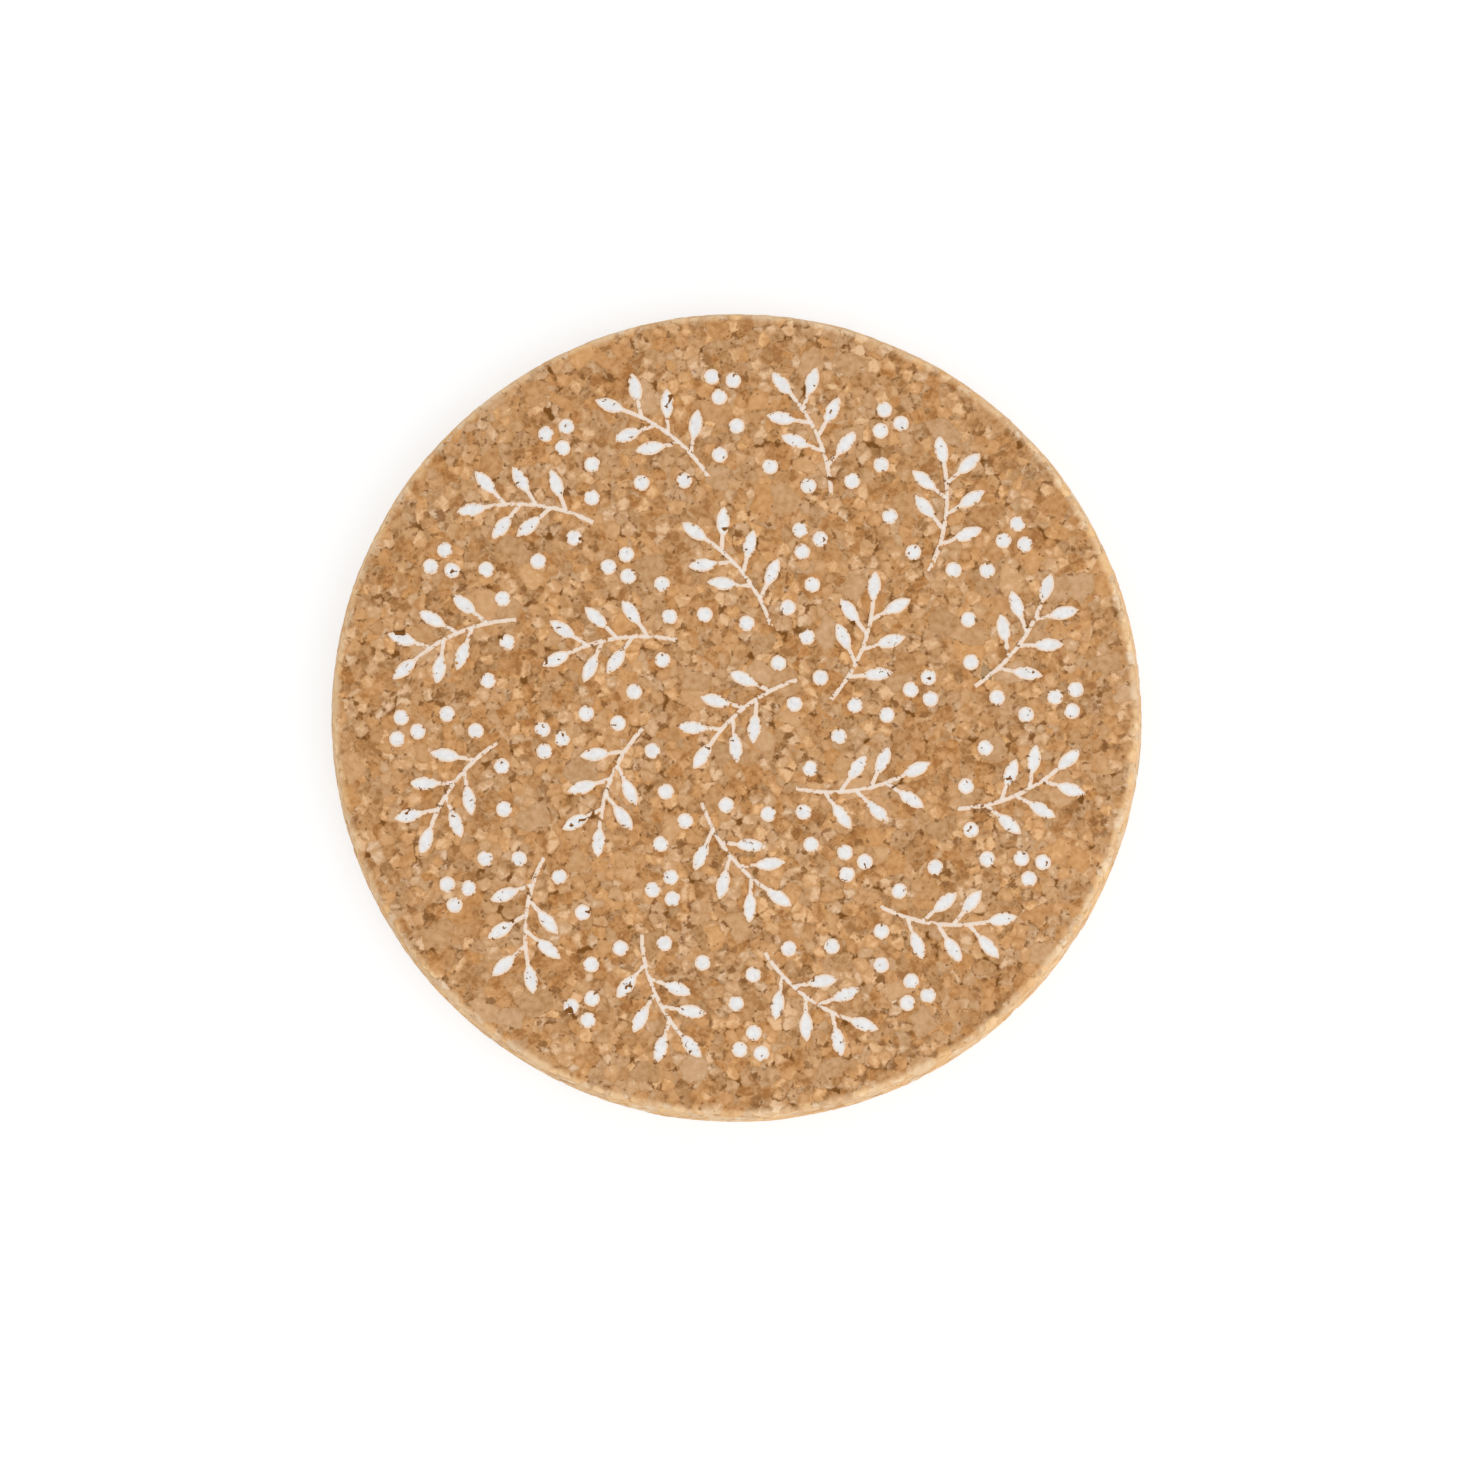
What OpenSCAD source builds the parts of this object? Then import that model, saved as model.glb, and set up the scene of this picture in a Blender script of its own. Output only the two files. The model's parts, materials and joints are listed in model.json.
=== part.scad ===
// Round cork coaster: a disc of pressed cork granules with a sealed top face
// and a thin white print of leaf sprigs. Millimetres, +Z up, the base at Z = 0.

/* [Cork disc] */
// Diameter at the widest point, just above the base
disc_d = 100; // [80:1:140]
// Thickness from the base to the sealed face
disc_t = 5; // [3:0.5:12]
// How far the cut wall leans inwards, in degrees
wall_lean = 8; // [0:0.5:15]
// Radius of the worn top edge
edge_round = 0.7; // [0.5:0.1:1.5]
// Radius of the eased bottom edge
base_ease = 0.3; // [0.1:0.1:0.6]

/* [Seal coat] */
// Depth of the sealer, with the skin of cork that it has soaked into
seal_t = 0.3; // [0.1:0.05:0.35]

/* [Print] */
// Thickness of the ink
ink_t = 0.06; // [0.02:0.01:0.15]
// Bare border between the print and the edge of the flat face
print_margin = 3.5; // [2:0.5:8]
// How much shorter a sprig is than the step from one ring of sprigs to the next
sprig_gap = 1; // [0:0.2:4]
// How far each sprig is turned from pointing straight outwards, in degrees
sprig_turn = 42; // [20:1:60]

/* [Sprig] */
// Width of the stem and the twigs
stem_w = 0.55; // [0.4:0.05:0.8]
// Radius of the stem's bend
stem_bend_r = 20; // [15:1:60]
// Length of a twig, from the stem's middle to its leaf
twig_l = 1.7; // [1:0.1:2.5]
// Angle between a twig and the stem, in degrees
twig_angle = 52; // [35:1:65]
// Length along the stem from the end leaf to the nearest twig
first_twig = 2.2; // [1.5:0.1:3]
// Length along the stem from one twig to the next, on the other side
twig_pitch = 1.9; // [1.5:0.1:2.5]
// Most twigs on a sprig
twig_count = 5; // [1:1:5]
// Least length of bare stem below the twigs
bare_foot = 2.4; // [1.5:0.1:4]
// Length of a leaf
leaf_l = 3.9; // [2.5:0.1:4.5]
// Width of a leaf
leaf_w = 1.7; // [1:0.05:2]

/* [Dots] */
// Diameter of a dot
dot_d = 2; // [1:0.1:2.4]
// Distance from the stem's line to each dot beside its foot
dot_side = 2.7; // [2:0.1:3.5]
// Distance of these two dots along the stem from its foot
dot_rise = 1.4; // [0:0.1:2]
// Distance from the middle of a cluster of dots to each of them
cluster_r = 1.55; // [1.4:0.05:1.8]

/* [Hidden] */
$fn = 96;
// Points along each rounded edge
edge_steps = 8;
// Names of the rings of sprigs, from the middle of the face outwards
ring_names = ["centre", "inner", "outer"];
ring_count = len(ring_names) - 1;
sprigs_in_first_ring = 6;
dots_in_cluster = 3;
// Places between the sprigs, along the stem from its foot and across it, as parts of the ring pitch
loose_dot_places = [[0.317, -0.372], [0.87, -0.41]];
cluster_place = [0.339, 0.481];

// Edge of the disc: the wall touches both rounded edges
base_round_centre = [disc_d / 2 - base_ease, base_ease];
wall_length = (disc_t - edge_round - base_ease - (base_ease - edge_round) * sin(wall_lean)) / cos(wall_lean);
face_r = base_round_centre[0] + (base_ease - edge_round) * cos(wall_lean) - wall_length * sin(wall_lean);
top_round_centre = [face_r, disc_t - edge_round];
seal_line_angle = asin((edge_round - seal_t) / edge_round);
seal_base_z = disc_t - seal_t;

// Layout of the print: a sprig of the outer ring would just reach the border if it pointed outwards
print_r = face_r - print_margin;
ring_pitch = (print_r + sprig_gap / 2) / (ring_count + 0.5);
sprig_l = ring_pitch - sprig_gap;

// A leaf is where two circles overlap
leaf_arc_r = (leaf_l * leaf_l + leaf_w * leaf_w) / (4 * leaf_w);
leaf_arc_offset = leaf_arc_r - leaf_w / 2;

// The stem bends from its foot to the end leaf, and its line passes through the sprig's middle
stem_foot_angle = -degrees_along_stem(sprig_l / 2);
stem_end_angle = stem_foot_angle + degrees_along_stem(sprig_l - leaf_l);
// Twigs that the stem has room for
twigs_that_fit = floor((sprig_l - leaf_l - first_twig - bare_foot) / twig_pitch) + 1;
// A stem or twig runs this far into its leaf, to where the leaf is as wide
leaf_overlap = stem_w;

raw_cork_colour = [0.86, 0.71, 0.53];
sealed_cork_colour = [0.76, 0.59, 0.42];
ink_colour = [0.94, 0.93, 0.91];

// Each sprig as its ring and its number in the ring
sprigs = [for (ring = [0 : ring_count], i = [0 : ring_size(ring) - 1]) [ring, i]];

// Number of sprigs in a ring
function ring_size(ring) = max(1, ring * sprigs_in_first_ring);

// Name of a sprig's node, such as printed_sprig_outer_3
function sprig_node(place) =
    let (number = place[0] == 0 ? "" : str("_", place[1] + 1))
    str("printed_sprig_", ring_names[place[0]], number);

// Name of the node of a ring's dots
function dots_node(ring) = str("printed_dots_", ring_names[ring]);

// Angle that a length of stem turns through
function degrees_along_stem(length) = length / stem_bend_r * 180 / PI;

// Points of an arc in the plane of a profile
function arc_points(centre, radius, from, to) = [
    for (step = [0 : edge_steps])
        let (angle = from + (to - from) * step / edge_steps)
        centre + radius * [cos(angle), sin(angle)]
];

module cork_disc() {
    color(raw_cork_colour)
        rotate_extrude()
            polygon(concat(
                [[0, 0]],
                arc_points(base_round_centre, base_ease, -90, wall_lean),
                arc_points(top_round_centre, edge_round, wall_lean, seal_line_angle),
                [[0, seal_base_z]]
            ));
}

module seal_coat() {
    color(sealed_cork_colour)
        rotate_extrude()
            polygon(concat(
                [[0, seal_base_z]],
                arc_points(top_round_centre, edge_round, seal_line_angle, 90),
                [[0, disc_t]]
            ));
}

// Puts a shape on the sealed face at a sprig's place, turned as the sprig is
module at_place(place) {
    rotate([0, 0, (place[1] + 0.5) * 360 / ring_size(place[0])])
        translate([place[0] * ring_pitch, 0, disc_t])
            rotate([0, 0, sprig_turn - 90])
                children();
}

// Puts a shape on the stem's line, where the stem has turned by an angle
module on_stem(angle) {
    translate([-stem_bend_r, 0, 0])
        rotate([0, 0, angle])
            translate([stem_bend_r, 0, 0])
                children();
}

module stem() {
    translate([-stem_bend_r, 0, 0])
        rotate([0, 0, stem_foot_angle])
            rotate_extrude(angle = stem_end_angle - stem_foot_angle + degrees_along_stem(leaf_overlap))
                translate([stem_bend_r - stem_w / 2, 0])
                    square([stem_w, ink_t]);
}

// A leaf along +Y, with its base at the origin
module leaf() {
    linear_extrude(ink_t)
        intersection() {
            translate([leaf_arc_offset, leaf_l / 2]) circle(leaf_arc_r);
            translate([-leaf_arc_offset, leaf_l / 2]) circle(leaf_arc_r);
        }
}

// A twig along +Y from the middle of the stem, with its leaf
module leafy_twig() {
    translate([-stem_w / 2, 0, 0]) cube([stem_w, twig_l + leaf_overlap, ink_t]);
    translate([0, twig_l, 0]) leaf();
}

// A sprig along +Y, with its twigs on either side in turn
module sprig() {
    stem();
    on_stem(stem_end_angle) leaf();
    for (i = [0 : min(twig_count, twigs_that_fit) - 1])
        on_stem(stem_end_angle - degrees_along_stem(first_twig + i * twig_pitch))
            rotate([0, 0, i % 2 == 0 ? -twig_angle : twig_angle])
                leafy_twig();
}

// Puts a shape beside the stem's line, by its distance along the stem from the foot
module beside_stem(rise, side) {
    on_stem(stem_foot_angle + degrees_along_stem(rise))
        translate([side, 0, 0])
            children();
}

module dot() {
    cylinder(d = dot_d, h = ink_t);
}

// The two dots beside a sprig's foot
module dot_pair() {
    for (side = [-1, 1])
        beside_stem(dot_rise, side * dot_side) dot();
}

// The dots between a sprig and the next one of its ring
module loose_dots() {
    for (place = loose_dot_places)
        beside_stem(place[0] * ring_pitch, place[1] * ring_pitch) dot();
    beside_stem(cluster_place[0] * ring_pitch, cluster_place[1] * ring_pitch)
        for (i = [0 : dots_in_cluster - 1])
            rotate([0, 0, 90 + i * 360 / dots_in_cluster])
                translate([cluster_r, 0, 0]) dot();
}

module printed_sprig(place) {
    color(ink_colour) at_place(place) sprig();
}

// The dots that belong to a ring's sprigs: there is no room for loose ones round the sprig in the middle
module printed_dots(ring) {
    color(ink_colour)
        for (i = [0 : ring_size(ring) - 1])
            at_place([ring, i]) {
                dot_pair();
                if (ring > 0) loose_dots();
            }
}

cork_disc();
seal_coat();
for (place = sprigs) {
    printed_sprig(place);
}
for (ring = [0 : ring_count]) {
    printed_dots(ring);
}
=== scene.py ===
# %% [markdown]
# # A printed cork coaster
# The real coaster is a disc of pressed cork granules, cut out round. Its top face is sealed, and a thin
# white print lies on the seal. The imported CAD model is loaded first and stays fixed, so that every piece
# made here already knows its place and its size.

# %% Load the frame
import json
import math

import bmesh
import bpy
import numpy as np
from mathutils import Matrix, Vector, noise
from mathutils.kdtree import KDTree

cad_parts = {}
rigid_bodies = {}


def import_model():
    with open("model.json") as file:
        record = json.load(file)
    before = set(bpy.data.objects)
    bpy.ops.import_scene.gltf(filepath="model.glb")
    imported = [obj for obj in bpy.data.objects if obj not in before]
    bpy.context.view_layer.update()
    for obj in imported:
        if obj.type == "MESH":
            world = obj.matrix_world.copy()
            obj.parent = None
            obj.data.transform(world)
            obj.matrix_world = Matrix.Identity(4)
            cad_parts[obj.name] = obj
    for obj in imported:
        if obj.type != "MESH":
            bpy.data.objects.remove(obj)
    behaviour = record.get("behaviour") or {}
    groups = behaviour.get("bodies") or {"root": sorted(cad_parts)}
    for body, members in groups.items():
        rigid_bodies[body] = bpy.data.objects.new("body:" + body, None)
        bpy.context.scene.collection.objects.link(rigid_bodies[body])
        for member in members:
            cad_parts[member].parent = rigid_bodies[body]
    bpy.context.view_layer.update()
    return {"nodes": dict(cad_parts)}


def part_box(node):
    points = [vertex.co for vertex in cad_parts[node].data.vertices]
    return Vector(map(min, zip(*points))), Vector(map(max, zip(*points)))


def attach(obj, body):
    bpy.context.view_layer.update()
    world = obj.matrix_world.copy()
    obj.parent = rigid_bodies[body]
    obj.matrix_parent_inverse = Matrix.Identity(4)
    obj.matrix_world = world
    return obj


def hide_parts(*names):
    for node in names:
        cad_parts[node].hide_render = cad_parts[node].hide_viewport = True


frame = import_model()
print("CAD nodes:", len(frame["nodes"]))

# %% [markdown]
# ## Sizes
# Blender works in metres here. The CAD boxes give the disc's radius and the heights of its faces. The boxes
# don't tell how the edge is shaped, so its two small radii and the lean of the cut wall are repeated from
# the CAD source, and the radius where the flat face ends follows from them.

# %% Sizes of the disc
MM = 0.001
EDGE_ROUND = 0.7 * MM
BASE_EASE = 0.3 * MM
WALL_LEAN = math.radians(8)

_, disc_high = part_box("cork_disc")
seal_low, seal_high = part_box("seal_coat")
disc_radius = disc_high.x
face_height = seal_high.z
seal_line_height = seal_low.z

base_centre = (disc_radius - BASE_EASE, BASE_EASE)
round_difference = BASE_EASE - EDGE_ROUND
wall_height = face_height - EDGE_ROUND - BASE_EASE - round_difference * math.sin(WALL_LEAN)
face_radius = base_centre[0] + round_difference * math.cos(WALL_LEAN) - wall_height * math.tan(WALL_LEAN)
edge_centre = (face_radius, face_height - EDGE_ROUND)
seal_line_angle = math.asin((seal_line_height - edge_centre[1]) / EDGE_ROUND)
print(f"disc {disc_radius * 2 / MM:.2f} mm across, flat face {face_radius * 2 / MM:.2f} mm across")

# %% [markdown]
# ## Camera
# The photograph looks almost straight down, about four degrees off the vertical, from far enough away that
# the disc stays nearly a true circle. An orthographic camera would come close, but a long lens from more
# than a metre also keeps the slight perspective that a real lens gives. The aim is a little left of and
# below the disc's middle, which puts the disc where it is in the photograph's frame.

# %% Camera
CAMERA_DISTANCE = 1.2
CAMERA_ELEVATION = math.radians(86)
CAMERA_REACH = 20
FRAME_WIDTH = 179.5 * MM
SENSOR_WIDTH = 36
CAMERA_AIM = Vector((-0.79 * MM, -1.77 * MM, 2.5 * MM))


def add_object(name, data):
    """Makes an object of some data and puts it in the scene."""
    made = bpy.data.objects.new(name, data)
    bpy.context.scene.collection.objects.link(made)
    return made


def aim(thing, place, direction):
    """Puts a camera or a lamp at a place, and turns it to look along a direction."""
    thing.location = place
    thing.rotation_mode = "QUATERNION"
    thing.rotation_quaternion = direction.to_track_quat("-Z", "Y")


camera_data = bpy.data.cameras.new("camera")
camera_data.sensor_width = SENSOR_WIDTH
camera_data.lens = SENSOR_WIDTH * CAMERA_DISTANCE / FRAME_WIDTH
camera_data.clip_end = CAMERA_REACH
camera = add_object("camera", camera_data)
towards_camera = Vector((0, -math.cos(CAMERA_ELEVATION), math.sin(CAMERA_ELEVATION)))
aim(camera, CAMERA_AIM + towards_camera * CAMERA_DISTANCE, -towards_camera)
bpy.context.scene.camera = camera
print(f"lens {camera_data.lens:.1f} mm")

# %% [markdown]
# ## Node helpers
# A material and a geometry node tree are both made of linked nodes. Four small helpers keep that readable:
# one fills an input, one adds a sum, one turns a range of values smoothly into another range, and one mixes
# two colours. A Mix node has sockets for every kind of value, so its colour sockets are picked by number.

# %% Node helpers
MIX_AMOUNT = 0
MIX_FIRST_COLOUR = 6
MIX_SECOND_COLOUR = 7
MIX_COLOUR = 2


def feed(tree, socket, value):
    """Links an output to an input, or sets the input's own value."""
    if isinstance(value, bpy.types.NodeSocket):
        tree.links.new(value, socket)
    else:
        socket.default_value = value


def calc(tree, operation, *values):
    """Adds a Math node and returns its output."""
    node = tree.nodes.new("ShaderNodeMath")
    node.operation = operation
    for socket, value in zip(node.inputs, values):
        feed(tree, socket, value)
    return node.outputs[0]


def ease(tree, value, start, end, low=0.0, high=1.0):
    """Goes smoothly from low to high while the value goes from start to end."""
    node = tree.nodes.new("ShaderNodeMapRange")
    node.interpolation_type = "SMOOTHSTEP"
    for socket, part in zip(node.inputs, (value, start, end, low, high)):
        feed(tree, socket, part)
    return node.outputs[0]


def blend(tree, amount, first, second, kind="MIX"):
    """Adds a colour Mix node and returns its output."""
    node = tree.nodes.new("ShaderNodeMix")
    node.data_type = "RGBA"
    node.blend_type = kind
    feed(tree, node.inputs[MIX_AMOUNT], amount)
    feed(tree, node.inputs[MIX_FIRST_COLOUR], first)
    feed(tree, node.inputs[MIX_SECOND_COLOUR], second)
    return node.outputs[MIX_COLOUR]

# %% [markdown]
# ## Studio light
# The photograph has a plain white ground and soft light, a little stronger from the lower right, where the
# rim is brightest. A ring of lamps could do that, but a white world gives the even part at once, and one
# wide lamp gives the direction. The two together light a level surface at about 1, so a colour renders
# about as it is written. Rays from the camera see the world as pure white.

# %% Studio light
WHITE = (1, 1, 1, 1)
WORLD_LEVEL = 0.78
LAMP_POWER = 5.4
LAMP_SIZE = 1.2
LAMP_PLACE = Vector((0.75, -0.45, 1.0))


def seen_directly(tree):
    """Is 1 for a ray that comes from the camera, or by way of a reflection or glass."""
    rays = tree.nodes.new("ShaderNodeLightPath")
    seen = calc(tree, "MAXIMUM", rays.outputs["Is Camera Ray"], rays.outputs["Is Glossy Ray"])
    return calc(tree, "MAXIMUM", seen, rays.outputs["Is Transmission Ray"])


world = bpy.data.worlds.new("studio")
world.use_nodes = True
sky = world.node_tree
sky.nodes.clear()
sky_light = sky.nodes.new("ShaderNodeBackground")
sky_level = calc(sky, "MULTIPLY_ADD", seen_directly(sky), 1 - WORLD_LEVEL, WORLD_LEVEL)
feed(sky, sky_light.inputs["Strength"], sky_level)
feed(sky, sky_light.inputs["Color"], WHITE)
sky_output = sky.nodes.new("ShaderNodeOutputWorld")
feed(sky, sky_output.inputs["Surface"], sky_light.outputs[0])
bpy.context.scene.world = world

lamp_data = bpy.data.lights.new("soft_lamp", "AREA")
lamp_data.shape = "DISK"
lamp_data.size = LAMP_SIZE
lamp_data.energy = LAMP_POWER
lamp = add_object("soft_lamp", lamp_data)
aim(lamp, LAMP_PLACE, -LAMP_PLACE)
bpy.context.scene.view_settings.view_transform = "Standard"
print("lamp at", [round(part, 2) for part in lamp.location])

# %% [markdown]
# ## Floor
# The ground in the photograph is white. A lit white floor would turn grey all round the disc, where the disc
# shades it. So what the camera sees, straight or in a reflection, is a darker floor that also glows: the two
# come to white in the open, and the shadow stays, but faint. Light bounces off a plain white floor as usual,
# and brightens the wall from below. The floor lies a hair under the disc, because a render can't tell which
# of two faces at the same height is in front.

# %% Floor paint
FLOOR_COLOUR = (0.97, 0.97, 0.97, 1)
FLOOR_SEEN_COLOUR = (0.4, 0.4, 0.4, 1)
FLOOR_GLOW = 0.65
FLOOR_ROUGHNESS = 1.0
FLOOR_SHINE = 0.0


def new_material(name):
    """A new material with its node tree and its shader."""
    material = bpy.data.materials.new(name)
    material.use_nodes = True
    return material, material.node_tree, material.node_tree.nodes["Principled BSDF"]


def set_finish(tree, shader, colour, roughness, shine):
    """Sets a shader's colour, its roughness and how strongly it reflects."""
    feed(tree, shader.inputs["Base Color"], colour)
    feed(tree, shader.inputs["Roughness"], roughness)
    feed(tree, shader.inputs["Specular IOR Level"], shine)


floor_paint, floor_tree, floor_shader = new_material("floor_paint")
floor_seen = seen_directly(floor_tree)
floor_colour = blend(floor_tree, floor_seen, FLOOR_COLOUR, FLOOR_SEEN_COLOUR)
set_finish(floor_tree, floor_shader, floor_colour, FLOOR_ROUGHNESS, FLOOR_SHINE)
feed(floor_tree, floor_shader.inputs["Emission Color"], WHITE)
floor_glow = calc(floor_tree, "MULTIPLY", floor_seen, FLOOR_GLOW)
feed(floor_tree, floor_shader.inputs["Emission Strength"], floor_glow)
print("floor paint:", len(floor_tree.nodes), "nodes")

# %% Floor
FLOOR_HALF = 3.0
FLOOR_CELLS = 8
FLOOR_DROP = 0.02 * MM

floor_mesh = bmesh.new()
bmesh.ops.create_grid(floor_mesh, x_segments=FLOOR_CELLS, y_segments=FLOOR_CELLS, size=FLOOR_HALF)
bmesh.ops.translate(floor_mesh, vec=(0, 0, -FLOOR_DROP), verts=floor_mesh.verts)
floor_data = bpy.data.meshes.new("floor")
floor_mesh.to_mesh(floor_data)
floor_mesh.free()
floor_data.materials.append(floor_paint)
floor = add_object("floor", floor_data)
print("floor", FLOOR_HALF * 2, "m wide")

# %% [markdown]
# ## The granules
# Pressed cork is granules of about one to three millimetres, squeezed until their flats meet. A Voronoi
# texture in three dimensions makes just such packed cells, and it runs on through the wall as the real
# granules do. The cork's colour, its dents and the breaks in the print all follow the same granules, so one
# recipe is written here for both kinds of node tree: materials use it for colour, geometry nodes for relief.
#
# First the position is turned into millimetres, which all sizes in the recipe are in, and bent a little by
# noise, so that no granule has a perfectly straight flat.

# %% Vector and noise helpers
PLAIN_DETAIL = 2.0
# Noise lies about evenly on either side of this value
NOISE_MIDDLE = 0.5


def scaled(tree, vector, factor):
    """Multiplies a vector by a number."""
    node = tree.nodes.new("ShaderNodeVectorMath")
    node.operation = "SCALE"
    feed(tree, node.inputs["Vector"], vector)
    feed(tree, node.inputs["Scale"], factor)
    return node.outputs["Vector"]


def vector_calc(tree, operation, *values):
    """Adds a Vector Math node and returns the output that carries its answer."""
    node = tree.nodes.new("ShaderNodeVectorMath")
    node.operation = operation
    for socket, value in zip(node.inputs, values):
        feed(tree, socket, value)
    return node.outputs["Value" if operation in ("DOT_PRODUCT", "LENGTH") else "Vector"]


def clouds(tree, place, size, detail=PLAIN_DETAIL):
    """Adds a Noise texture whose clouds are about this many millimetres wide."""
    node = tree.nodes.new("ShaderNodeTexNoise")
    feed(tree, node.inputs["Vector"], place)
    feed(tree, node.inputs["Scale"], 1 / size)
    feed(tree, node.inputs["Detail"], detail)
    return node


def swing(tree, place, size, detail=PLAIN_DETAIL):
    """Noise that swings to either side of zero."""
    return calc(tree, "SUBTRACT", clouds(tree, place, size, detail).outputs[0], NOISE_MIDDLE)


# %% Bent position
BEND_SIZE = 1.6
BEND_REACH = 0.45
RAGGED_SIZE = 0.4
RAGGED_REACH = 0.2
MIDDLE_VECTOR = (NOISE_MIDDLE, NOISE_MIDDLE, NOISE_MIDDLE)


def bent(tree, place):
    """Moves a position about by noise, coarsely and then finely."""
    for size, reach in ((BEND_SIZE, BEND_REACH), (RAGGED_SIZE, RAGGED_REACH)):
        shift = vector_calc(tree, "SUBTRACT", clouds(tree, place, size).outputs["Color"], MIDDLE_VECTOR)
        place = vector_calc(tree, "ADD", place, scaled(tree, shift, reach * 2))
    return place


print("granules bent by up to", BEND_REACH, "mm and frayed by up to", RAGGED_REACH, "mm")

# %% [markdown]
# Three sizes of cell are mixed. Each coarse cell draws a number, and a few stay whole, as the big granules
# do. Once in a while such a granule is dark and dull. Everywhere else the fine cells show, and the crumbs,
# the smallest cells, shade them a little, as if some granules were broken. One size of cell would look like
# a honeycomb.

# %% Coarse and fine granules
COARSE_SIZE = 2.8
FINE_SIZE = 1.45
CRUMB_SIZE = 0.8
CRUMB_SHARE = 0.3
WHOLE_SHARE = 0.13
WHOLE_DARKEST = 0.3
WHOLE_PALEST = 0.66
DULL_FROM = 0.985


def cells(tree, place, size):
    """Packed cells of one size: the numbers each cell draws, the distance to its border, and its node."""
    drawn = tree.nodes.new("ShaderNodeTexVoronoi")
    border = tree.nodes.new("ShaderNodeTexVoronoi")
    border.feature = "DISTANCE_TO_EDGE"
    for node in (drawn, border):
        feed(tree, node.inputs["Vector"], place)
        feed(tree, node.inputs["Scale"], 1 / size)
    numbers = tree.nodes.new("ShaderNodeSeparateXYZ")
    feed(tree, numbers.inputs[0], drawn.outputs["Color"])
    return list(numbers.outputs), calc(tree, "MULTIPLY", border.outputs["Distance"], size), drawn


def mixed(tree, amount, first, second):
    """Goes from the first number to the second as the amount goes from 0 to 1."""
    change = calc(tree, "SUBTRACT", second, first)
    return calc(tree, "MULTIPLY_ADD", change, amount, first)


print("granule sizes:", COARSE_SIZE, FINE_SIZE, "and", CRUMB_SIZE, "mm")

# %% [markdown]
# Where three or four granules meet, a small void can be left. That is where a point is far from the middle
# of every cell, which the Voronoi texture gives as its distance. Noise makes the voids common in some
# places and rare in others, and opens short crevices along the borders. Flecks of dark bark cling to the
# borders of the smaller granules, most of them faint and a few strong. They are cells of their own, shrunk
# to spots, pulled towards the borders and frayed by noise. Plain round spots would look painted on.

# %% Voids and crevices
LOOSE_PATCH = 1.4
LOOSE_FROM = 0.35
LOOSE_TO = 0.68
VOID_TIGHT = 0.9
VOID_LOOSE = 0.655
VOID_SLOPE = 0.22
CREVICE_PATCH = 0.8
CREVICE_FROM = 0.56
CREVICE_TO = 0.68
CREVICE_SHARE = 0.8
CREVICE_CORE = 0.03
CREVICE_REACH = 0.36


def pits(tree, place, edge, corner):
    """How far a point is in a void or a crevice, from 0 to 1."""
    looseness = clouds(tree, place, LOOSE_PATCH).outputs[0]
    void_edge = ease(tree, looseness, LOOSE_FROM, LOOSE_TO, VOID_TIGHT, VOID_LOOSE)
    void = ease(tree, calc(tree, "SUBTRACT", corner, void_edge), 0.0, VOID_SLOPE)
    patches = clouds(tree, place, CREVICE_PATCH).outputs[0]
    openness = ease(tree, patches, CREVICE_FROM, CREVICE_TO, 0.0, CREVICE_SHARE)
    crevice = calc(tree, "MULTIPLY", ease(tree, edge, CREVICE_CORE, CREVICE_REACH, 1.0, 0.0), openness)
    return calc(tree, "MAXIMUM", crevice, void)


print("voids and crevices open in patches of", LOOSE_PATCH, "and", CREVICE_PATCH, "mm")

# %% Flecks of bark
SPECK_SIZE = 1.3
SPECK_SMALLEST = 0.35
SPECK_LARGEST = 0.95
SPECK_BORDER_PULL = 1.3
SPECK_RAGGED_SIZE = 0.35
SPECK_RAGGED_REACH = 1.5
# A fleck is full up to the first share of its radius, and gone at the second
SPECK_CORE = 0.4
SPECK_END = 1.05
SPECK_RARITY = 1.9


def specks(tree, place, edge):
    """Small ragged flecks of bark along the borders, from 0 to 1, most of them faint."""
    drawn, _, fleck = cells(tree, place, SPECK_SIZE)
    radius = mixed(tree, drawn[0], SPECK_SMALLEST, SPECK_LARGEST)
    near = calc(tree, "DIVIDE", fleck.outputs["Distance"], radius)
    near = calc(tree, "MULTIPLY_ADD", edge, SPECK_BORDER_PULL, near)
    ragged = swing(tree, place, SPECK_RAGGED_SIZE)
    near = calc(tree, "MULTIPLY_ADD", ragged, SPECK_RAGGED_REACH, near)
    strength = calc(tree, "POWER", drawn[1], SPECK_RARITY)
    return calc(tree, "MULTIPLY", ease(tree, near, SPECK_CORE, SPECK_END, 1.0, 0.0), strength)


print("flecks of bark in cells of", SPECK_SIZE, "mm")

# %% The whole recipe
BORDER_WIDTH = 0.3


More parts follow.
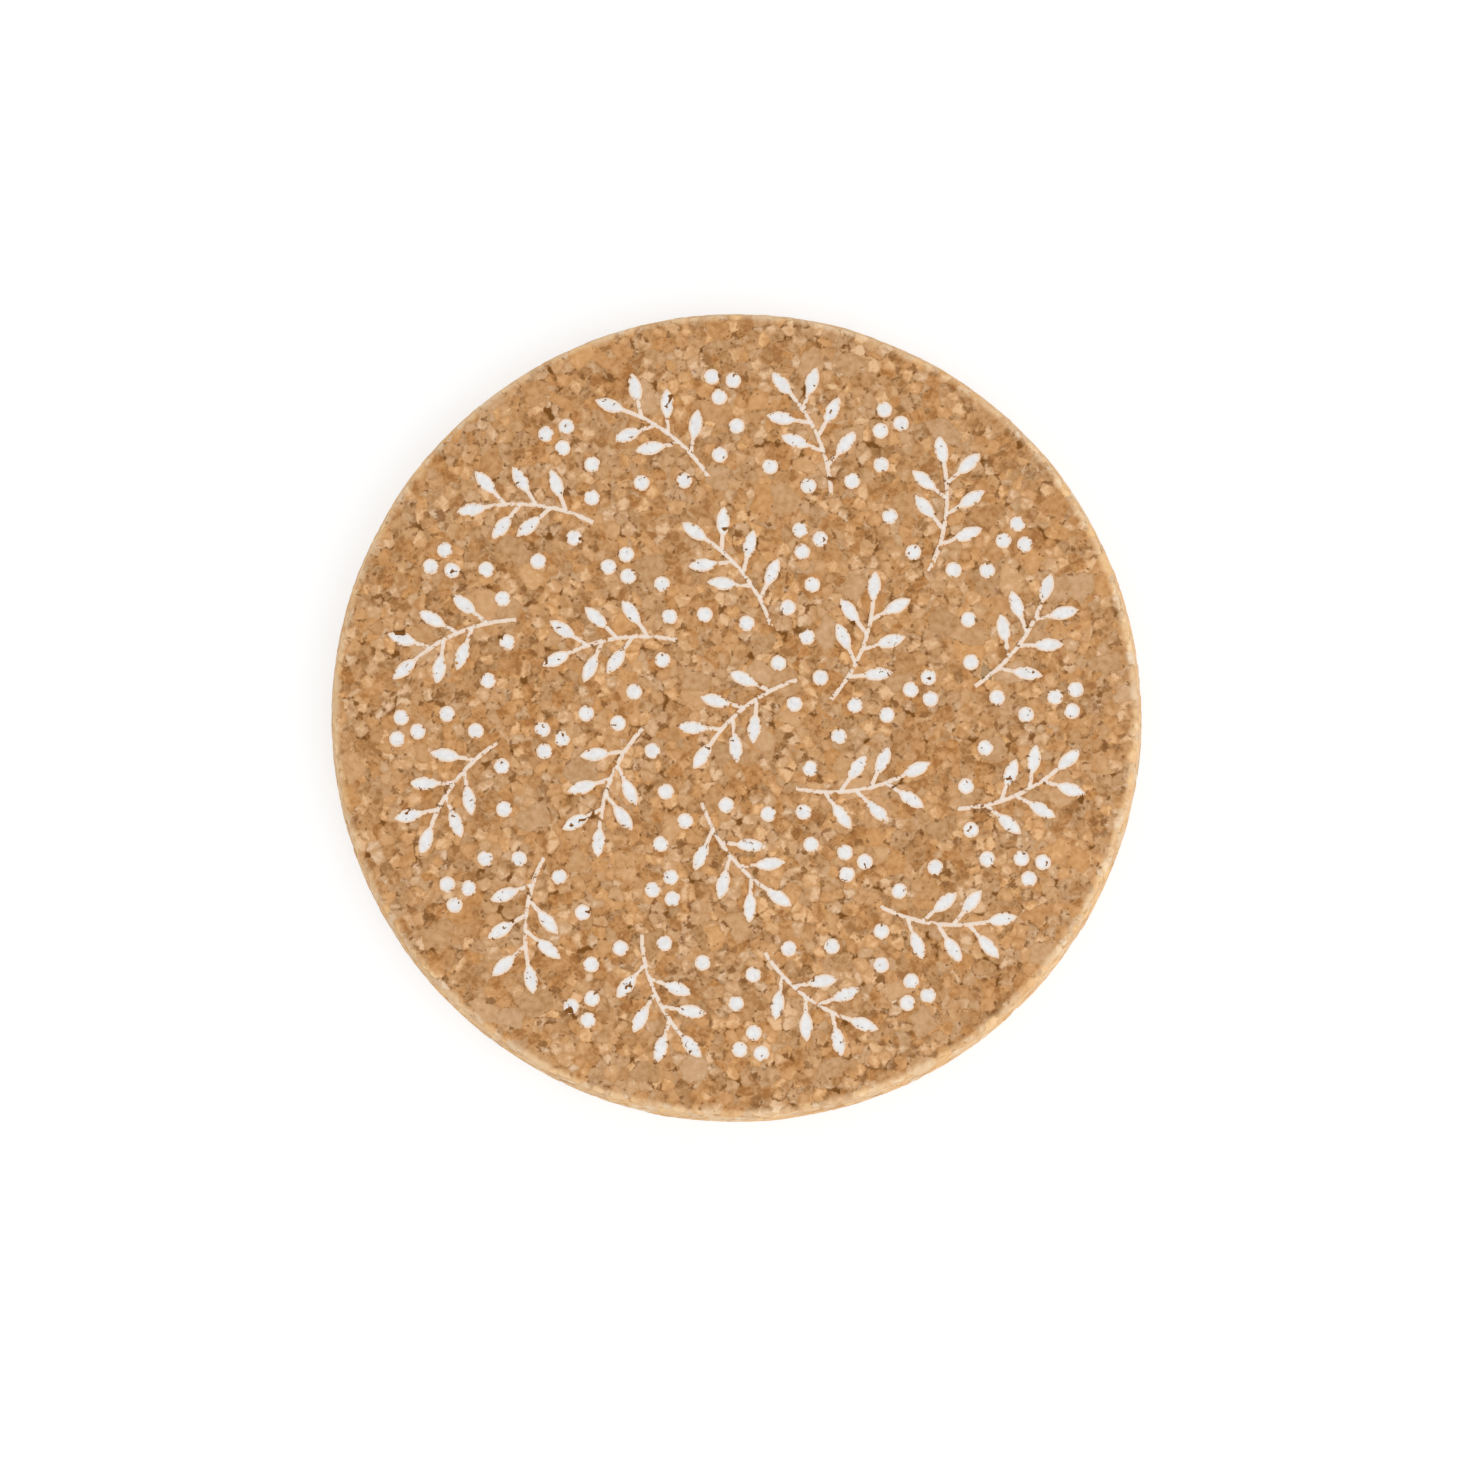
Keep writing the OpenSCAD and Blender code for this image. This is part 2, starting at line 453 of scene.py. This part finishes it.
def granules(tree, position):
    """Adds the granule recipe to a tree and returns what it knows about each point."""
    place = scaled(tree, position, 1 / MM)
    bent_place = bent(tree, place)
    coarse_draw, coarse_edge, _ = cells(tree, bent_place, COARSE_SIZE)
    fine_draw, fine_edge, fine_cell = cells(tree, bent_place, FINE_SIZE)
    crumb_draw, _, _ = cells(tree, bent_place, CRUMB_SIZE)
    whole = calc(tree, "LESS_THAN", coarse_draw[0], WHOLE_SHARE)
    small = calc(tree, "SUBTRACT", 1.0, whole)
    whole_tone = mixed(tree, coarse_draw[1], WHOLE_DARKEST, WHOLE_PALEST)
    small_tone = mixed(tree, CRUMB_SHARE, fine_draw[1], crumb_draw[1])
    edge = mixed(tree, whole, fine_edge, coarse_edge)
    corner = calc(tree, "SUBTRACT", fine_cell.outputs["Distance"], whole)
    return {
        "place": place,
        "dull": calc(tree, "MULTIPLY", whole, calc(tree, "GREATER_THAN", coarse_draw[2], DULL_FROM)),
        "tone": mixed(tree, whole, small_tone, whole_tone),
        "hue": mixed(tree, whole, fine_draw[2], coarse_draw[2]),
        "drawn": fine_cell.outputs["Color"],
        "dip": ease(tree, edge, 0.0, BORDER_WIDTH, 1.0, 0.0),
        "speck": calc(tree, "MULTIPLY", specks(tree, bent_place, edge), small),
        "pit": pits(tree, place, edge, corner),
    }


print("borders darken over", BORDER_WIDTH, "mm")

# %% [markdown]
# ## Cork colours
# Each granule has one shade, from a ramp of the shades that cork has, and leans a little to orange or to
# a paler beige. Inside a granule there are faint growth lines and fine mottling. The binder darkens the
# borders. The pits are dark brown: that is painted shade in the voids and crevices, on top of the shade that
# their real dents cast. A picture of cork could be wrapped on instead, but it would repeat and smear round
# the edge. The sealer deepens all of the shades, so the sealed face and the raw cut wall use the same nodes
# with two sets of colours.

# %% Cork shades
def tint(red, green, blue):
    """A colour as on screen, from 0 to 255, turned into linear values by the sRGB curve."""
    parts = [part / 255 for part in (red, green, blue)]
    return [part / 12.92 if part < 0.04045 else ((part + 0.055) / 1.055) ** 2.4 for part in parts] + [1]


SEALED_SHADES = ((0.0, tint(162, 111, 57)), (0.2, tint(184, 135, 82)), (0.5, tint(202, 156, 106)),
                 (0.8, tint(213, 169, 121)), (1.0, tint(230, 191, 147)))
RAW_SHADES = ((0.0, tint(210, 168, 122)), (0.2, tint(223, 184, 138)), (0.5, tint(233, 199, 154)),
              (0.8, tint(238, 207, 165)), (1.0, tint(243, 218, 180)))
SEALED_SPECK = tint(130, 82, 26)
RAW_SPECK = tint(208, 164, 117)
# Pit colours are painted shade in the voids and crevices, added to the shade of their real dents
SEALED_PIT_SHADE = tint(124, 77, 20)
RAW_PIT_SHADE = tint(197, 152, 104)
SEALED_COLOURS = (SEALED_SHADES, SEALED_SPECK, SEALED_PIT_SHADE)
RAW_COLOURS = (RAW_SHADES, RAW_SPECK, RAW_PIT_SHADE)
ORANGE_LEAN = (1.06, 0.94, 0.77, 1)
PALE_LEAN = (0.97, 1.015, 1.16, 1)
DULL_LEAN = (0.68, 0.69, 0.62, 1)
print("shades of sealed and of raw cork:", len(SEALED_SHADES), "and", len(RAW_SHADES))

# %% Cork colour nodes
MIDDLE_TONE = 0.45
TONE_SPREAD = 1.28
LINE_SPACING = 0.33
LINE_STRENGTH = 0.05
MOTTLE_SIZE = 0.8
MOTTLE_DETAIL = 4.0
MOTTLE_STRENGTH = 1.25
BINDER_SHADE = 0.1
BORDER_SOFTNESS = 0.6


def shade_ramp(tree, value, shades):
    """Adds a Color Ramp with the given shades."""
    node = tree.nodes.new("ShaderNodeValToRGB")
    stops = node.color_ramp.elements
    while len(stops) < len(shades):
        stops.new(1.0)
    for stop, (place, colour) in zip(stops, shades):
        stop.position = place
        stop.color = colour
    feed(tree, node.inputs[0], value)
    return node.outputs[0]


def cork_colour(tree, grain, shades, speck_colour, pit_shade_colour):
    """Colour of the granules, their borders and flecks, and painted shade in the pits between them."""
    direction = vector_calc(tree, "SUBTRACT", grain["drawn"], MIDDLE_VECTOR)
    along = vector_calc(tree, "DOT_PRODUCT", grain["place"], direction)
    lines = calc(tree, "SINE", calc(tree, "MULTIPLY", along, math.tau / LINE_SPACING))
    mottle = swing(tree, grain["place"], MOTTLE_SIZE, MOTTLE_DETAIL)
    softness = calc(tree, "MULTIPLY", grain["dip"], BORDER_SOFTNESS)
    tone = mixed(tree, softness, grain["tone"], MIDDLE_TONE)
    tone = calc(tree, "MULTIPLY_ADD", calc(tree, "SUBTRACT", tone, MIDDLE_TONE), TONE_SPREAD, MIDDLE_TONE)
    tone = calc(tree, "MULTIPLY_ADD", lines, LINE_STRENGTH, tone)
    tone = calc(tree, "MULTIPLY_ADD", mottle, MOTTLE_STRENGTH, tone)
    tone = calc(tree, "MULTIPLY_ADD", grain["dip"], -BINDER_SHADE, tone)
    colour = shade_ramp(tree, tone, shades)
    lean = blend(tree, grain["hue"], ORANGE_LEAN, PALE_LEAN)
    colour = blend(tree, 1.0, colour, lean, "MULTIPLY")
    colour = blend(tree, grain["dull"], colour, DULL_LEAN, "MULTIPLY")
    colour = blend(tree, grain["speck"], colour, speck_colour)
    # Painted shade in the pits
    return blend(tree, grain["pit"], colour, pit_shade_colour)

# %% [markdown]
# ## Raw cork
# The cut wall and the underside are bare cork, dry and matt. Fine bump adds the feel of cut cork cells,
# which are too small to model. A material reads Object coordinates, so its granules lie where the relief
# puts its dents.

# %% Raw cork
CELL_BUMP_SIZE = 0.12
CELL_BUMP_DETAIL = 3.0
CELL_BUMP_DEPTH = 0.02 * MM
RAW_ROUGHNESS_DARK = 0.94
RAW_ROUGHNESS_PALE = 0.84
RAW_SHINE = 0.2
RAW_BUMP = 0.8


def grained_material(name):
    """A new material with its tree, its shader and the granules at each point."""
    material, tree, shader = new_material(name)
    place = tree.nodes.new("ShaderNodeTexCoord").outputs["Object"]
    return material, tree, shader, granules(tree, place)


def add_bump(tree, shader, grain, strength):
    """Fine bump of cut cork cells."""
    height = clouds(tree, grain["place"], CELL_BUMP_SIZE, CELL_BUMP_DETAIL).outputs[0]
    bump = tree.nodes.new("ShaderNodeBump")
    feed(tree, bump.inputs["Strength"], strength)
    feed(tree, bump.inputs["Distance"], CELL_BUMP_DEPTH)
    feed(tree, bump.inputs["Height"], height)
    feed(tree, shader.inputs["Normal"], bump.outputs[0])


raw_cork, raw_tree, raw_shader, raw_grain = grained_material("raw_cork")
raw_colour = cork_colour(raw_tree, raw_grain, *RAW_COLOURS)
raw_roughness = ease(raw_tree, raw_grain["tone"], 0.0, 1.0, RAW_ROUGHNESS_DARK, RAW_ROUGHNESS_PALE)
set_finish(raw_tree, raw_shader, raw_colour, raw_roughness, RAW_SHINE)
add_bump(raw_tree, raw_shader, raw_grain, RAW_BUMP)
print("raw cork:", len(raw_tree.nodes), "nodes")

# %% [markdown]
# ## Sealed cork
# The sealed face has a satin sheen that the pits don't share. Round its rim the sealer is worn off, and the
# paler raw cork shows. That band could be a mesh of its own, but its border is soft and wanders, so it is
# mixed in by the distance from the disc's axis. The distance is measured a little off the axis, so the band
# grows wider to the right, towards the lamp. That extra width is painted light: it makes the rim brighter on
# the lit side.

# %% Worn rim, with painted light on the lit side
WORN_START = 48.3
WORN_END = 49.1
WORN_PATCH = 1.2
WORN_WANDER = 0.6
# Painted light: this shift widens the pale worn band towards the lamp, so the lit side of the rim is
# brighter
LIT_SIDE_SHIFT = (0.2, -0.07, 0)
FLATTEN = (1, 1, 0)

sealed_cork, sealed_tree, sealed_shader, sealed_grain = grained_material("sealed_cork")
flat_place = vector_calc(sealed_tree, "MULTIPLY", sealed_grain["place"], FLATTEN)
flat_place = vector_calc(sealed_tree, "ADD", flat_place, LIT_SIDE_SHIFT)
worn_wander = swing(sealed_tree, sealed_grain["place"], WORN_PATCH)
worn_and_lit_reach = vector_calc(sealed_tree, "LENGTH", flat_place)
worn_and_lit_reach = calc(sealed_tree, "MULTIPLY_ADD", worn_wander, WORN_WANDER, worn_and_lit_reach)
worn_and_lit = ease(sealed_tree, worn_and_lit_reach, WORN_START, WORN_END)
print("worn to raw cork from", WORN_START, "to", WORN_END, "mm off the axis")

# %% Sealed cork
SEALED_ROUGHNESS = 0.5
BARE_ROUGHNESS = 0.85
SEALED_SHINE = 0.3
SEALED_BUMP = 0.4

sealed_colour = cork_colour(sealed_tree, sealed_grain, *SEALED_COLOURS)
worn_colour = cork_colour(sealed_tree, sealed_grain, *RAW_COLOURS)
# Real raw cork round the rim, with painted light where the band reaches further on the lit side
face_colour = blend(sealed_tree, worn_and_lit, sealed_colour, worn_colour)
face_roughness = mixed(sealed_tree, sealed_grain["pit"], SEALED_ROUGHNESS, BARE_ROUGHNESS)
face_roughness = mixed(sealed_tree, worn_and_lit, face_roughness, BARE_ROUGHNESS)
set_finish(sealed_tree, sealed_shader, face_colour, face_roughness, SEALED_SHINE)
add_bump(sealed_tree, sealed_shader, sealed_grain, SEALED_BUMP)
print("sealed cork:", len(sealed_tree.nodes), "nodes")

# %% [markdown]
# ## Reading the granules into a mesh
# Relief made only by bump would vanish at the rim and in the exported mesh, so the pits are real dents. A
# geometry node tree with the same recipe writes four numbers to each vertex: pit, dip, the granule's own
# tone, and the fleck. The script reads them back and moves the vertices itself, so no piece keeps a
# modifier.

# %% Granule reader
READINGS = ("pit", "dip", "tone", "speck")

reader = bpy.data.node_groups.new("granule_reader", "GeometryNodeTree")
for in_out in ("INPUT", "OUTPUT"):
    reader.interface.new_socket("Geometry", in_out=in_out, socket_type="NodeSocketGeometry")
reader_flow = reader.nodes.new("NodeGroupInput").outputs[0]
reader_grain = granules(reader, reader.nodes.new("GeometryNodeInputPosition").outputs[0])
for reading in READINGS:
    store = reader.nodes.new("GeometryNodeStoreNamedAttribute")
    store.data_type = "FLOAT"
    store.domain = "POINT"
    feed(reader, store.inputs["Geometry"], reader_flow)
    feed(reader, store.inputs["Name"], reading)
    feed(reader, store.inputs["Value"], reader_grain[reading])
    reader_flow = store.outputs["Geometry"]
feed(reader, reader.nodes.new("NodeGroupOutput").inputs[0], reader_flow)


def read_granules(sheet):
    """Reads the granule numbers at every vertex of a bmesh, in the order of its vertices."""
    sheet.verts.index_update()
    data = bpy.data.meshes.new("reading")
    sheet.to_mesh(data)
    probe = add_object("reading", data)
    probe.modifiers.new("granules", "NODES").node_group = reader
    depsgraph = bpy.context.evaluated_depsgraph_get()
    attributes = probe.evaluated_get(depsgraph).data.attributes
    found = {}
    for reading in READINGS:
        found[reading] = np.zeros(len(data.vertices), np.float32)
        attributes[reading].data.foreach_get("value", found[reading])
    bpy.data.objects.remove(probe)
    bpy.data.meshes.remove(data)
    return found


print("granule reader:", len(reader.nodes), "nodes")

# %% [markdown]
# ## A round sheet
# A disc spun from a line has slivers in the middle and wide faces at the rim, which is no use for small
# dents. A square grid has even faces, so the grid is made first and its square rings are then pushed out
# to circles. Its border comes out as evenly spaced points, which a spun strip can be welded to. A spin with
# very many steps is slow, so a strip is spun through one sector and then doubled up to the full turn.

# %% Round sheet
WELD = 0.01 * MM


def add_round_sheet(mesh, radius, cells_across, height):
    """Adds a grid whose square rings are pushed out to circles."""
    made = bmesh.ops.create_grid(mesh, x_segments=cells_across, y_segments=cells_across, size=radius)
    for vert in made["verts"]:
        x, y = vert.co.x, vert.co.y
        if max(abs(x), abs(y)) < WELD:
            continue
        if abs(x) > abs(y):
            ring, angle = x, math.pi / 4 * y / x
        else:
            ring, angle = y, math.pi / 2 - math.pi / 4 * x / y
        vert.co = (ring * math.cos(angle), ring * math.sin(angle), height)


# %% Spun strip
STRIP_DOUBLINGS = 5


def spun_strip(profile, steps):
    """Spins a line of (radius, height) points through one sector, and doubles that up to the full turn."""
    strip = bmesh.new()
    line = [strip.verts.new((radius, 0, height)) for radius, height in profile]
    edges = [strip.edges.new(pair) for pair in zip(line, line[1:])]
    sector = math.tau / 2 ** STRIP_DOUBLINGS
    bmesh.ops.spin(strip, geom=line + edges, cent=(0, 0, 0), axis=(0, 0, 1), angle=sector,
                   steps=steps // 2 ** STRIP_DOUBLINGS)
    for doubling in range(STRIP_DOUBLINGS):
        so_far = strip.verts[:] + strip.edges[:] + strip.faces[:]
        copied = bmesh.ops.duplicate(strip, geom=so_far)["geom"]
        copied_verts = [part for part in copied if isinstance(part, bmesh.types.BMVert)]
        turn = Matrix.Rotation(sector * 2 ** doubling, 3, "Z")
        bmesh.ops.rotate(strip, cent=(0, 0, 0), matrix=turn, verts=copied_verts)
    bmesh.ops.remove_doubles(strip, verts=strip.verts, dist=WELD)
    return strip


def arc(centre, radius, start, end, steps):
    """Points along an arc of the profile, both ends included."""
    angles = [start + (end - start) * step / steps for step in range(steps + 1)]
    return [(centre[0] + radius * math.cos(angle), centre[1] + radius * math.sin(angle)) for angle in angles]

# %% [markdown]
# ## Relief
# A dent goes straight into the surface: down on the face, up on the underside, and inwards on the wall. The
# sealed face is sanded nearly flat, so only the pits, the flecks and faint borders show. The cut wall is
# rougher, and its granules stand a little in or out. Nor is the cut a perfect circle: the rim wanders by a
# tenth of a millimetre or so. All of this only goes inwards, so the disc never outgrows the CAD box.

# %% Wandering rim
RIM_WANDER = 0.06 * MM
RIM_WANDER_PEAK = 1.2
RIM_WAVE = 60 * MM
RIM_WAVE_STEP = 2.2
RIM_WAVE_SIZES = 4
RIM_FADE = 2.5 * MM


def rim_wander(place):
    """How far the cut edge lies inside a true circle, fading out away from the rim."""
    wave = noise.fractal(place / RIM_WAVE, 0, RIM_WAVE_STEP, RIM_WAVE_SIZES)
    wave = max(-RIM_WANDER_PEAK, min(RIM_WANDER_PEAK, wave))
    nearness = 1 - (disc_radius - math.hypot(place.x, place.y)) / RIM_FADE
    return RIM_WANDER * (RIM_WANDER_PEAK - wave) * max(0, min(1, nearness))


print(f"rim wanders by up to {RIM_WANDER * RIM_WANDER_PEAK * 2 / MM:.2f} mm")

# %% Dents
PIT_DEPTH = 0.2 * MM
SPECK_DEPTH = 0.04 * MM
FACE_DIP = 0.03 * MM
WALL_STEP = 0.06 * MM
# Share of a pit's depth that is missing where it lies in the wall
WALL_PIT_LOSS = 0.5


def outward(place):
    """Direction straight out of the smooth disc at a point of its surface."""
    from_axis = math.hypot(place.x, place.y)
    if place.z > edge_centre[1] and from_axis > edge_centre[0]:
        centre = edge_centre
    elif place.z < base_centre[1] and from_axis > base_centre[0]:
        centre = base_centre
    elif from_axis > face_radius and WELD < place.z < face_height - WELD:
        return Vector((place.x / from_axis * math.cos(WALL_LEAN),
                       place.y / from_axis * math.cos(WALL_LEAN),
                       math.sin(WALL_LEAN)))
    else:
        return Vector((0, 0, 1 if place.z > face_height / 2 else -1))
    side = (from_axis - centre[0]) / from_axis
    return Vector((place.x * side, place.y * side, place.z - centre[1])).normalized()


def dent(mesh):
    """Moves every vertex into the surface by the granules' relief."""
    found = read_granules(mesh)
    numbers = zip(*(found[reading].tolist() for reading in READINGS))
    for vert, (pit, dip, tone, speck) in zip(mesh.verts, numbers):
        direction = outward(vert.co)
        wall_share = math.hypot(direction.x, direction.y)
        depth = PIT_DEPTH * pit * (1 - wall_share * WALL_PIT_LOSS) + SPECK_DEPTH * speck + FACE_DIP * dip
        inwards = Vector((vert.co.x, vert.co.y, 0)).normalized() * rim_wander(vert.co)
        vert.co -= direction * (depth + WALL_STEP * tone * wall_share) + inwards
    print(f"share of pits {float(found['pit'].mean()):.3f}, of borders {float(found['dip'].mean()):.3f}")


print(f"pits up to {PIT_DEPTH / MM:.2f} mm deep")

# %% [markdown]
# ## Closing and adding a piece
# Each piece is a closed shell, so that it has an inside and can be printed or weighed. Where two pieces lie
# on each other, one flat face closes each of them out of sight. Its border is marked sharp, or the shading
# of the visible side would bend towards it.

# %% Closing and adding a piece
def close_with_flat(mesh):
    """Closes the open rim with one hidden flat face, with a sharp edge round it."""
    rim = [edge for edge in mesh.edges if edge.is_boundary]
    bmesh.ops.edgeloop_fill(mesh, edges=rim)
    for edge in rim:
        edge.smooth = False


def add_piece(name, mesh, material, node):
    """Makes a piece from a bmesh, which rides on the disc and stands for a CAD node."""
    bmesh.ops.recalc_face_normals(mesh, faces=mesh.faces)
    for face in mesh.faces:
        face.smooth = True
    data = bpy.data.meshes.new(name)
    mesh.to_mesh(data)
    mesh.free()
    data.materials.append(material)
    piece = add_object(name, data)
    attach(piece, "root")
    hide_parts(node)
    return piece

# %% [markdown]
# ## Cork disc
# The body has the cut wall, the eased bottom edge and the underside, which is raw cork too. Its profile is
# spun, and a round sheet closes the underside. The sheet is coarser than the wall, and bridging two loops
# with unlike numbers of points can twist them, so the flat ring between the two is filled with triangles.

# %% Cork disc
FACE_CELLS = 296
BASE_CELLS = 180
SPIN_STEPS = FACE_CELLS * 4
UPPER_EDGE_ROWS = 3
WALL_ROWS = 13
LOWER_EDGE_ROWS = 4
BASE_BAND = 1.0 * MM

upper_edge = arc(edge_centre, EDGE_ROUND, seal_line_angle, WALL_LEAN, UPPER_EDGE_ROWS)
lower_edge = arc(base_centre, BASE_EASE, WALL_LEAN, -math.pi / 2, LOWER_EDGE_ROWS)
wall_top, wall_foot = Vector(upper_edge[-1]), Vector(lower_edge[0])
wall = [tuple(wall_top.lerp(wall_foot, row / WALL_ROWS)) for row in range(1, WALL_ROWS)]
base_rim = (base_centre[0] - BASE_BAND, 0)
body_mesh = spun_strip(upper_edge + wall + lower_edge + [base_rim], SPIN_STEPS)
strip_rims = [edge for edge in body_mesh.edges if edge.is_boundary]
base_rim_edges = [edge for edge in strip_rims if max(vert.co.z for vert in edge.verts) < WELD]
add_round_sheet(body_mesh, base_rim[0] - BASE_BAND / 2, BASE_CELLS, 0)
known = set(strip_rims)
sheet_rim = [edge for edge in body_mesh.edges if edge.is_boundary and edge not in known]
bmesh.ops.triangle_fill(body_mesh, use_beauty=True, edges=base_rim_edges + sheet_rim, normal=(0, 0, -1))
dent(body_mesh)
close_with_flat(body_mesh)
cork_body = add_piece("cork_body", body_mesh, raw_cork, "cork_disc")
print("cork body:", len(cork_body.data.polygons), "faces")

# %% [markdown]
# ## Sealed face
# The sealed skin is a thin piece of its own: the round sheet of the face, welded to a strip that follows the
# rounded edge down to the seal line, and a hidden flat under it. It could be a mere colour on the body, but
# then nobody could take the coaster apart into the layers that it is made of.

# %% Sealed face
EDGE_ROWS = 4

face_mesh = spun_strip(arc(edge_centre, EDGE_ROUND, math.pi / 2, seal_line_angle, EDGE_ROWS), SPIN_STEPS)
add_round_sheet(face_mesh, face_radius, FACE_CELLS, face_height)
bmesh.ops.remove_doubles(face_mesh, verts=face_mesh.verts, dist=WELD)
dent(face_mesh)
close_with_flat(face_mesh)
sealed_face = add_piece("sealed_face", face_mesh, sealed_cork, "seal_coat")
print("sealed face:", len(sealed_face.data.polygons), "faces")

# %% [markdown]
# ## White ink
# The ink is opaque and nearly matt, and faintly mottled. It lies thinner along its border, so the narrow
# stems look creamier than the leaves and dots. It breaks where it ran dry, and it can't bridge a void, so
# the cork shows there. How far a point is from the border is measured when a film is made, and kept on its
# mesh as an attribute, because a material can't find that out by itself.

# %% White ink
INK_WHITE = tint(240, 239, 237)
INK_DULL = tint(231, 229, 227)
INK_THIN = tint(241, 211, 182)
INK_BORDER = 0.45
INK_PATCH = 0.6
INK_PATCH_DETAIL = 3.0
INK_DULL_FROM = 0.35
INK_DULL_TO = 0.65
BORDER_DISTANCE = "border_distance"

white_ink, ink_tree, ink_shader, ink_grain = grained_material("white_ink")
border_distance = ink_tree.nodes.new("ShaderNodeAttribute")
border_distance.attribute_name = BORDER_DISTANCE
dryness = clouds(ink_tree, ink_grain["place"], INK_PATCH, INK_PATCH_DETAIL).outputs[0]
dullness = ease(ink_tree, dryness, INK_DULL_FROM, INK_DULL_TO)
thinness = ease(ink_tree, border_distance.outputs["Fac"], 0.0, INK_BORDER, 1.0, 0.0)
ink_colour = blend(ink_tree, dullness, INK_WHITE, INK_DULL)
ink_colour = blend(ink_tree, thinness, ink_colour, INK_THIN)
print("ink thins over", INK_BORDER, "mm along its border")

# %% Breaks in the ink
# How much drier the thin ink along the border is
INK_BORDER_DRYNESS = 0.17
INK_DRY_FROM = 0.7
INK_DRY_TO = 0.78
INK_VOID_FROM = 0.55
INK_VOID_TO = 0.8
INK_ROUGHNESS = 0.6
INK_SHINE = 0.3
INK_BUMP = 0.3

dryness = calc(ink_tree, "MULTIPLY_ADD", thinness, INK_BORDER_DRYNESS, dryness)
dry_gap = ease(ink_tree, dryness, INK_DRY_FROM, INK_DRY_TO)
void_gap = ease(ink_tree, ink_grain["pit"], INK_VOID_FROM, INK_VOID_TO)
ink_gap = calc(ink_tree, "MAXIMUM", dry_gap, void_gap)
# The bare cork in the breaks keeps the painted shade of the pits
bare_cork = cork_colour(ink_tree, ink_grain, *SEALED_COLOURS)
print_colour = blend(ink_tree, ink_gap, ink_colour, bare_cork)
print_roughness = mixed(ink_tree, ink_gap, INK_ROUGHNESS, BARE_ROUGHNESS)
set_finish(ink_tree, ink_shader, print_colour, print_roughness, INK_SHINE)
add_bump(ink_tree, ink_shader, ink_grain, INK_BUMP)
print("white ink:", len(ink_tree.nodes), "nodes")

# %% [markdown]
# ## Printed sprigs and dots
# The CAD nodes hold the outline of each printed island. A copy of a node's top is merged and cut by planes
# into small cells, so that it can sink with the cork under it. Its border wanders a little, as ink does on
# a grainy ground, and then it is extruded down to a film that ends inside the seal.

# %% Cutting a sheet of ink
INK_CELL = 0.25 * MM
FINE_WELD = WELD / 10


def cut_in_cells(sheet, low, high):
    """Cuts a flat sheet by two sets of upright planes."""
    for axis, normal in ((0, (1, 0, 0)), (1, (0, 1, 0))):
        first = math.ceil(low[axis] / INK_CELL)
        last = math.floor(high[axis] / INK_CELL)
        for step in range(first, last + 1):
            bmesh.ops.bisect_plane(sheet, geom=sheet.verts[:] + sheet.edges[:] + sheet.faces[:],
                                   dist=FINE_WELD, plane_co=Vector(normal) * (step * INK_CELL),
                                   plane_no=normal)


def keep_border_distance(sheet):
    """Keeps each vertex's distance from the sheet's border, in millimetres, as an attribute."""
    layer = sheet.verts.layers.float.new(BORDER_DISTANCE)
    border = [vert for vert in sheet.verts if vert.is_boundary]
    tree = KDTree(len(border))
    for index, vert in enumerate(border):
        tree.insert(vert.co, index)
    tree.balance()
    for vert in sheet.verts:
        _, _, distance = tree.find(vert.co)
        vert[layer] = distance / MM


print(f"ink cells {INK_CELL / MM:.2f} mm wide")

# %% Printed sprigs and dots
# A face counts as the top when its normal points up at least this much
TOP_NORMAL = 0.5
FLAT_ANGLE = 0.01
# Share of the cork's relief that the ink follows
INK_SINK = 0.45
INK_ROOT = 0.05 * MM
INK_WANDER = 0.08 * MM
INK_WANDER_SIZE = 0.5 * MM
# Without a seed, the noise vectors would start from the clock and differ from run to run
INK_WANDER_SEED = 7
noise.seed_set(INK_WANDER_SEED)


def ink_film(node):
    """Makes the film of ink that stands for a printed CAD node."""
    sheet = bmesh.new()
    sheet.from_mesh(frame["nodes"][node].data)
    bmesh.ops.remove_doubles(sheet, verts=sheet.verts, dist=FINE_WELD)
    sheet.normal_update()
    below = [face for face in sheet.faces if face.normal.z < TOP_NORMAL]
    bmesh.ops.delete(sheet, geom=below, context="FACES")
    bmesh.ops.dissolve_limit(sheet, angle_limit=FLAT_ANGLE, verts=sheet.verts, edges=sheet.edges)
    low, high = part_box(node)
    cut_in_cells(sheet, low, high)
    keep_border_distance(sheet)
    found = read_granules(sheet)
    sinks = PIT_DEPTH * found["pit"] + SPECK_DEPTH * found["speck"] + FACE_DIP * found["dip"]
    for vert, depth in zip(sheet.verts, (sinks * INK_SINK).tolist()):
        wander = noise.noise_vector(vert.co / INK_WANDER_SIZE) * INK_WANDER
        vert.co += Vector((wander.x, wander.y, -depth))
    made = bmesh.ops.extrude_face_region(sheet, geom=sheet.faces[:])["geom"]
    film_floor = face_height - INK_ROOT
    for part in made:
        if isinstance(part, bmesh.types.BMVert):
            part.co.z = min(part.co.z, film_floor) - INK_ROOT
    name = node.replace("printed_", "ink_")
    return add_piece(name, sheet, white_ink, node)


ink_films = [ink_film(node) for node in sorted(frame["nodes"]) if node.startswith("printed_")]
print("ink films:", len(ink_films), "with", sum(len(film.data.polygons) for film in ink_films), "faces")

# %% [markdown]
# ## Finish
# Every CAD node is now replaced by a dressed piece, and the granule reader has done its work.

# %% Finish
bpy.data.node_groups.remove(reader)
